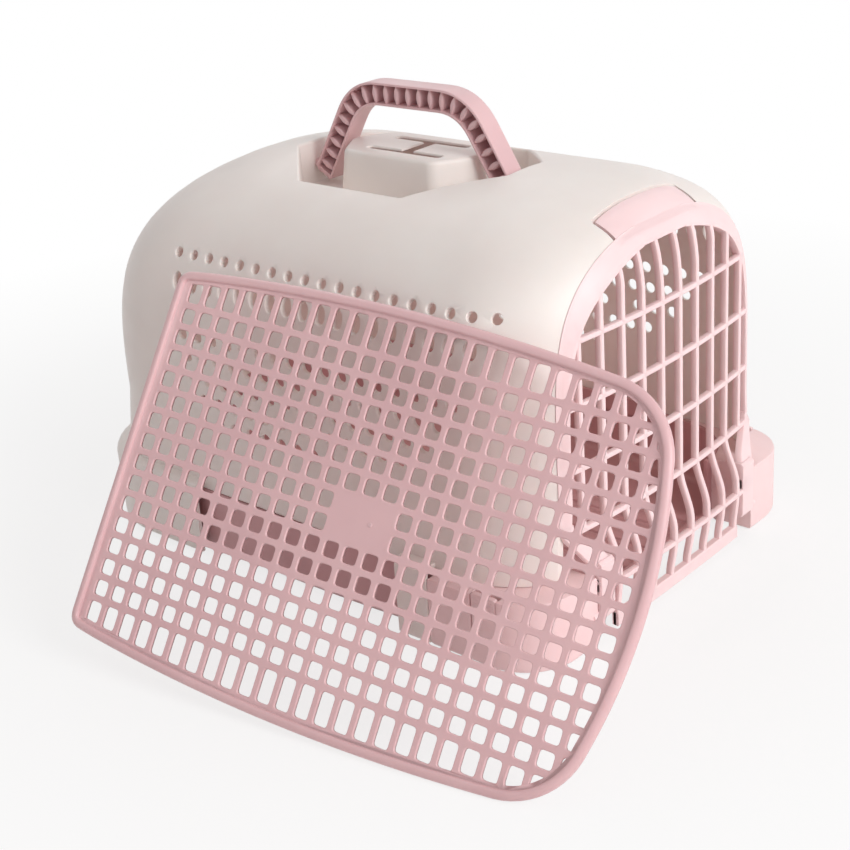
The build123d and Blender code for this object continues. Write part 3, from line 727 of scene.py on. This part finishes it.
def rim_half(z):
    """Half the width of the hood's front rim at a height"""
    half, corner = half_width(z), bend(z)
    ahead = hood_rim - nose(z) + corner
    return half - corner + sqrt(max(0, corner ** 2 - ahead ** 2))


def bar(name, places, width, upright, thick=door_thick):
    """A rod with a rounded front that follows the door's face through places given as (y, z)"""
    rings = []
    for y, z in places:
        ring = []
        for side, depth in ((-0.78, 0), (-1, 0.2), (-1, 0.62), (-0.86, 0.86), (-0.5, 0.98),
                            (0.5, 0.98), (0.86, 0.86), (1, 0.62), (1, 0.2), (0.78, 0)):
            across = side * width / 2
            here = (y + across, z) if upright else (y, z + across)
            front, back = door_face(*here), door_rear(y, z, thick)
            ring.append((back + (front - 0.15 - back) * depth, *here))
        rings.append(ring)
    return skin(name, rings)


# arch: outer edge on the hood's rim, inner edge moved in by the band's width
arch_levels = [fork_top + 5 * k for k in range(29)]
arch_levels += [231, 234, 237, 240, 243, 246, 249, 252, 255, 258, 260.5, 263, 265, 267, 268.5,
                269.7, 270.5]
arch_half = [((rim_half(z), z), (max(rim_half(z) - door_band, 0), z - door_crown_band * crown(z)))
             for z in arch_levels]
arch_half += [((y, z), (y * 0.82, z - door_crown_band * crown(z)))
              for y, z in ((30, 270.95), (24, door_top), (16, door_top), (8, door_top))]
arch_middle = ((0, door_top), (0, door_top - door_crown_band * crown(door_top)))
arch_far = [((-a[0], a[1]), (-b[0], b[1])) for a, b in arch_half[::-1]]
arch_rings = []
for outer, inner in arch_half + [arch_middle] + arch_far:
    outer, inner = Vector(outer), Vector(inner)
    ring = []
    for share, depth in ((0, 0), (0, 0.75), (0.03, 0.93), (0.12, 1), (0.4, 1), (0.7, 1),
                         (0.86, 0.99), (0.96, 0.9), (1, 0.72), (1, 0)):
        y, z = outer.lerp(inner, share)
        front = max(door_back + 0.5, door_face(y, min(z, door_top)))
        ring.append((door_back + (front - door_back) * depth, y, z))
    arch_rings.append(ring)


def arch_top(y):
    """The height of the middle of the arch's band over a place across the door"""
    for (outer, inner), (next_outer, next_inner) in zip(arch_half, arch_half[1:]):
        a, b = (outer[0] + inner[0]) / 2, (next_outer[0] + next_inner[0]) / 2
        if b <= abs(y) <= a:
            share = (a - abs(y)) / (a - b)
            return ((outer[1] + inner[1]) / 2 * (1 - share)
                    + (next_outer[1] + next_inner[1]) / 2 * share)
    return 263


door_parts = [skin("arch", arch_rings)]
for k in range(door_bar_count):
    y = door_bar_step * (k - (door_bar_count - 1) / 2)
    foot_level = 84 if abs(y) > 90 else 5.4
    top = arch_top(y)
    levels = [foot_level + (top - foot_level) * i / 60 for i in range(61)]
    door_parts.append(bar("bar", [(y, z) for z in levels], door_bar, True))
spread = [i / 20 - 1 for i in range(41)]
rails = [(rim_half(max(z, fork_top)) - 5, z) for z in door_rail_levels] + [(90, low_rail_level)]
for half, z in rails:
    door_parts.append(bar("rail", [(half * s, z) for s in spread], door_rail, False,
                          door_rail_thick))
sill_bar = [[(door_face(77 * s, z) - back, 77 * s, z) for back, z in (
    (5, 5.4), (0.5, 5), (0, 5.6), (0, 14.3), (0.6, 15), (5, 15))] for s in spread]
door_parts.append(skin("sill_bar", sill_bar))

# fork below the arch: each side draws in and forward to its ear
fork_steps = ((116.2, 106.7, 92), (116, 106.4, 88), (115, 104.6, 84), (112.9, 101.3, 80),
              (110, 96.7, 76), (107.3, 91.8, 72), (105, 87.4, 68), (102.8, 84.6, 64),
              (100, 83, 60), (97.6, 82.2, 56), (97, 82, 50), (97, 82, 41))
ear_plan = arc(door_axis_x, door_axis_z, ear_half, 180, 180, 12)
ear_plan += [Vector(p) for p in ((243, 61), (241, 63), (235.5, 63), (233.5, 61))]
for side in (-1, 1):
    fork_rings = []
    for outer, inner, z in fork_steps:
        ring = []
        for share, depth in ((0, 0), (0, 0.7), (0.05, 0.93), (0.16, 1), (0.84, 1), (0.95, 0.93),
                             (1, 0.7), (1, 0)):
            y = outer + (inner - outer) * share
            back, front = door_rear(y, z), door_face(y, z)
            ring.append((back + (front - back) * depth, side * y, z))
        fork_rings.append(ring)
    door_parts.append(skin("fork", fork_rings))
    door_parts.append(skin("ear", [[(p.x, side * y, p.y) for p in grown(ear_plan, r)] for r, y in (
        (-0.8, 82), (-0.2, 82.2), (0, 82.8), (0, 96.2), (-0.2, 96.8), (-0.8, 97))]))
    # the pin that the door turns on, and the nub that steadies the ear
    for z, radius, reach in ((door_axis_z, 3, 103), (47.5, 2, 97.8)):
        door_parts.append(skin("pin", [[(p.x, side * y, p.y)
                                        for p in circle(door_axis_x, z, radius, 18)]
                                       for y in (96, reach)]))

# tab: a slice of the roof's own curve, which lies in the notch and keeps the door shut. Its rear
# and side edges are eased down a little
tab_places = [notch_rear + 2.3 + 19.5 * k / 8 for k in range(9)]
rear_drops = [0.5, 0.1] + [0] * 7
side_drops = [0.35, 0.08] + [0] * 29 + [0.08, 0.35]
tab_rings = []
for k, side_drop in enumerate(side_drops):
    y = tab_half_width * (k / 16 - 1)
    upper = [(x, y, roof(x, y) - side_drop - drop) for x, drop in zip(tab_places, rear_drops)]
    lower = [(x, y, roof(x, y) - 2.9) for x in tab_places[::-1]]
    tab_rings.append(upper + lower)
door_parts.append(skin("tab", tab_rings))

door_pp = moulded_pp("moulded PP, pale pink", "fde2e3", "f9d9da", 0.38, 1.6, 0.08)
door = joined("door_moulding", door_parts)
dress(door, door_pp, "front_door", ["door"])

# ---------------------------------------------------------------------------
# Handle. One moulding in dusty pink: a bent channel, open towards the near side and filled with
# crowned ribs, with rounded feet that turn on two pins in the well's end walls.
handle_axis = 270
handle_bar = 17
handle_half_depth = 8.5
handle_shift = 2
handle_foot = 5
handle_stations = 90
handle_rib_count = 23
grip_middle = handle_middle + 1.2
leg_lean = Vector((41.5, -68)).normalized()
handle_spine = [Vector(p) for p in ((-97.5, 1), (-56, 69), (56, 69), (97.5, 1))]


def handle_line(inset):
    """The handle's outline from foot to foot, moved inwards, as (x, z) about its pins"""
    below = [handle_spine[3] + leg_lean * 50,
             handle_spine[0] + Vector((-leg_lean.x, leg_lean.y)) * 50]
    moved = grown((handle_spine + below)[::-1], -inset)[::-1]
    line = [moved[0]]
    for i in (1, 2):
        here, back = moved[i], 27 - inset * 0.55
        start = here + (moved[i - 1] - here).normalized() * back
        end = here + (moved[i + 1] - here).normalized() * back
        line += [start * (1 - t) ** 2 + here * 2 * t * (1 - t) + end * t ** 2
                 for t in [k / 12 for k in range(13)]]
    return line + [moved[3]]


def stations(line, count):
    """Points at even shares of a line's length"""
    lengths = [(b - a).length for a, b in zip(line, line[1:])]
    total, spots = sum(lengths), []
    for k in range(count):
        left = total * k / (count - 1)
        for a, b, length in zip(line, line[1:], lengths):
            if left <= length + 1e-9:
                spots.append(a.lerp(b, left / length))
                break
            left -= length
        else:
            spots.append(line[-1])
    return spots


def channel_ring(outer, inner, hollow, inset=0):
    """A section of the channel: its two bands, its back wall and the open near side"""
    floor = 0.74 if hollow else -0.9
    outer, inner = outer.lerp(inner, inset / handle_bar), inner.lerp(outer, inset / handle_bar)
    half = handle_half_depth - inset * 0.6
    ring = []
    for share, y in ((0.06, -1), (0.015, -0.96), (0, -0.86), (0, 0.86), (0.015, 0.96), (0.06, 1),
                     (0.94, 1), (0.985, 0.96), (1, 0.86), (1, -0.86), (0.985, -0.96), (0.94, -1),
                     (0.9, -1), (0.885, -0.9), (0.885, floor), (0.115, floor), (0.115, -0.9),
                     (0.1, -1)):
        place = outer.lerp(inner, share)
        ring.append((place.x + grip_middle, handle_shift + y * half, place.y + handle_axis))
    return ring


outer_line = stations(handle_line(0), handle_stations)
inner_line = stations(handle_line(handle_bar), handle_stations)

# each foot is rounded off below, and the channel starts just above its end
foot_steps = [(handle_foot * sin(radians(a)), handle_foot - handle_foot * cos(radians(a)))
              for a in (88, 70, 52, 35, 18, 0)]
foot_steps.append((-0.3, 0))


def foot_rings(side, outer, inner):
    """The sections of one foot, from its end upwards"""
    down = Vector((side * leg_lean.x, leg_lean.y))
    return [channel_ring(outer + down * run, inner + down * run, run < 0, inset)
            for run, inset in foot_steps]


handle_rings = foot_rings(-1, outer_line[0], inner_line[0])
handle_rings += [channel_ring(a, b, True) for a, b in zip(outer_line[1:-1], inner_line[1:-1])]
handle_rings += foot_rings(1, outer_line[-1], inner_line[-1])[::-1]
channel = skin("channel", handle_rings)

# ribs: crowned blades across the channel, thicker in the middle of their height
blade_rings = []
for t in (0, 0.12, 0.3, 0.5, 0.7, 0.88, 1):
    bulge = 1 - (2 * t - 1) ** 2
    thick, front = 0.45 + 2.15 * bulge, -5.1 - 1.2 * bulge
    blade_rings.append([(x, y, 14.2 * (t - 0.5)) for x, y in (
        (-thick * 0.6, 7), (-thick, front + 4), (-thick * 0.85, front + 1.2),
        (-thick * 0.4, front + 0.25), (thick * 0.4, front + 0.25), (thick * 0.85, front + 1.2),
        (thick, front + 4), (thick * 0.6, 7))])
rib_spots = stations(handle_line(handle_bar / 2), handle_rib_count + 1)
rib_places, rib_turns = [], []
for last, here in zip(rib_spots, rib_spots[1:]):
    along, spot = (here - last).normalized(), (here + last) / 2
    axes = Matrix(((along.x, 0, -along.y), (0, 1, 0), (along.y, 0, along.x)))
    rib_places.append((spot.x + grip_middle, 0, spot.y + handle_axis))
    rib_turns.append(axes.to_euler())
handle_pp = moulded_pp("moulded PP, dusty pink", "ecc7c9", "e2bbbe", 0.36, 1.4, 0.08)
blades = repeated("handle_ribs", skin("blade", blade_rings), rib_places, turns=rib_turns,
                  finish=handle_pp)
pins = [skin("pin", [[(handle_middle + x, *p) for p in circle(0, handle_axis, 4, 18)]
                     for x in reach]) for reach in ((-104, -95), (97, 104))]
handle = joined("handle_moulding", [channel, blades] + pins)
dress(handle, handle_pp, "carry_handle", ["handle"])

# ---------------------------------------------------------------------------
# Floor mat. One thin moulding in dusty pink: rounded square holes in 25 columns, longer slots
# along both long edges, a small plain field at its middle and a raised rim. It leans outside.
mat_pitch = 14.9
mat_half_hole = 5.2
mat_hole_corner = 2.6
mat_plate = 2.4
mat_columns = range(-12, 13)
mat_rows = [k - 6.5 for k in range(14)]
plain_columns = (-1, 0, 1)
mat_place = Vector((146.3, -216.8, 118.1))
lean, yaw, tilt = radians(33.4), radians(11.3), radians(5.5)
mat_normal = Vector((sin(yaw) * cos(lean), -cos(yaw) * cos(lean), sin(lean)))
mat_level = Vector((cos(yaw), sin(yaw), 0))
mat_along = mat_level * cos(tilt) - mat_normal.cross(mat_level) * sin(tilt)
mat_upward = mat_normal.cross(mat_along)


def arc_through(a, b, c, count):
    """Points along the circle through three points, from the first up to the last"""
    a, b, c = Vector(a), Vector(b), Vector(c)
    d = 2 * (a.x * (b.y - c.y) + b.x * (c.y - a.y) + c.x * (a.y - b.y))
    aa, bb, cc = a.length_squared, b.length_squared, c.length_squared
    centre = Vector(((aa * (b.y - c.y) + bb * (c.y - a.y) + cc * (a.y - b.y)) / d,
                     (aa * (c.x - b.x) + bb * (a.x - c.x) + cc * (b.x - a.x)) / d))
    turn = (a - centre).angle_signed(c - centre)
    return [centre + Matrix.Rotation(-turn * k / count, 2) @ (a - centre) for k in range(count)]


# the outline from three arcs and their mirror images, and two rounded corners on the left; its
# points are put in order round the middle
upper_edge = arc_through((-196, 127), (-40, 137), (140, 128.5), 30)
upper_edge += arc_through((140, 128.5), (172, 113), (187, 84), 12)
end_edge = arc_through((187, 84), (197, 0), (187, -84), 24) + [Vector((187, -84))]
lower_edge = [Vector((p.x, -p.y)) for p in upper_edge]
left_end = softened([Vector(p) for p in ((-196, -127), (-150, -131), (-150, 131), (-196, 127))],
                    12, 6)
mat_outline = [p for p in upper_edge + end_edge + lower_edge if p.x > -184]
mat_outline += left_end[:7] + left_end[-7:]
mat_outline.sort(key=lambda p: atan2(p.y, p.x))

rim_profile = [(0, 0.4), (0, 2.2), (-0.5, 3.2), (-1.4, 4.1), (-2.8, 4.8), (-4.3, 5), (-5.3, 4.8),
               (-5.9, 4.2), (-6.2, 3.2), (-6.4, 2.3), (-6.4, 0), (-0.4, 0)]
rim = skin("rim", [[(*p, z) for p in grown(mat_outline, r)] for r, z in rim_profile], closed=True)
plate = skin("plate", [[(*p, z) for p in grown(mat_outline, -5)] for z in (0, mat_plate)])


def punch(half_length, x=0, y=0):
    """A bar with a rounded square section and a flare, which rounds the hole's upper edge"""
    corners = rectangle(-mat_half_hole, -half_length, mat_half_hole, half_length)
    return [[(p.x + x, p.y + y, z) for p in softened(grown(corners, r), mat_hole_corner + r, 3)]
            for r, z in ((0, -2), (0, 1.5), (0.12, 1.95), (0.42, 2.28), (0.85, 2.42), (0.9, 6))]


hole_places = [(mat_pitch * column, mat_pitch * row, 0) for column in mat_columns
               for row in mat_rows if not (column in plain_columns and abs(row) < 1)]
cutters = [repeated("mat_holes", skin("punch", punch(mat_half_hole)), hole_places)]
# slots reach from the outermost rows to the rim, where the outline leaves room for one
slot_reach = grown(mat_outline, -9.5)
for column in mat_columns:
    x = mat_pitch * column
    edge = max(p.y for p in slot_reach if abs(p.x - x) < 12)
    if edge > 108:
        for side in (-1, 1):
            cutters.append(skin("slot", punch((edge - 106.25) / 2, x, side * (106.85 + edge) / 2)))
holes = joined("mat_cuts", cutters)
field = skin("field", [[(*p, z) for p in grown(mat_outline, -8.6)] for z in (-5, 5)])
carve(holes, field, "INTERSECT")
carve(plate, holes)
gate = skin("gate", [[(*p, z) for p in circle(mat_pitch / 2, 0, radius, 12)] for radius, z in (
    (1.6, 2), (1.6, 2.7), (1.1, 3), (0.5, 2.7))])
mat_pp = moulded_pp("moulded PP, dusty rose", "ebc4c6", "e1b8bb", 0.36, 1.4, 0.08)
mat = joined("mat_moulding", [plate, rim, gate])
mat.data.transform(Matrix.Translation(mat_place * mm)
                   @ Matrix((mat_along, mat_upward, mat_normal)).transposed().to_4x4())
even = mat.modifiers.new("even", "WEIGHTED_NORMAL")
even.keep_sharp = True
mat.data.shade_smooth()
bake(mat)
dress(mat, mat_pp, "mat", ["floor_mat"], 50)
